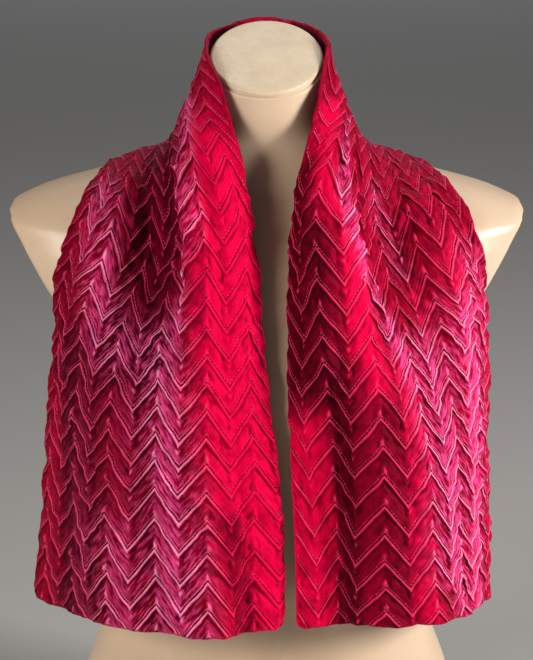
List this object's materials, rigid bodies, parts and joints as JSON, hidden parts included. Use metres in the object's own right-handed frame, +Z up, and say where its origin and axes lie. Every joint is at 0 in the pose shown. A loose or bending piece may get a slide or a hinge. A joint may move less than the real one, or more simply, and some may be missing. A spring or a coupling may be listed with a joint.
{
  "type": "neck scarf on a dress form",
  "caption": "Long velvet neck scarf with rows of zigzag pintucks, hung round the neck of a limbless dress form with its two ends side by side on the chest.",
  "frame": {"origin": "middle of the dress form's flat base", "axes": "+Z up, +X to the form's own left, -Y out of its chest"},
  "size_m": [0.3894, 0.2554, 0.6121],
  "materials": {
    "velvet": "silk velvet with a soft nap and a pink sheen, crimson",
    "backing": "plain woven backing, satin, dark rose",
    "form_shell": "moulded shell with a soft gloss, skin beige",
    "form_cap": "fine orange-peel texture, cream"
  },
  "bodies": {
    "root": {"scarf_right_front": "velvet", "scarf_neck_back": "velvet", "scarf_left_front": "velvet", "backing_right_front": "backing", "backing_neck_back": "backing", "backing_left_front": "backing", "form_torso": "form_shell", "form_neck_cap": "form_cap"}
  },
  "joints": []
}
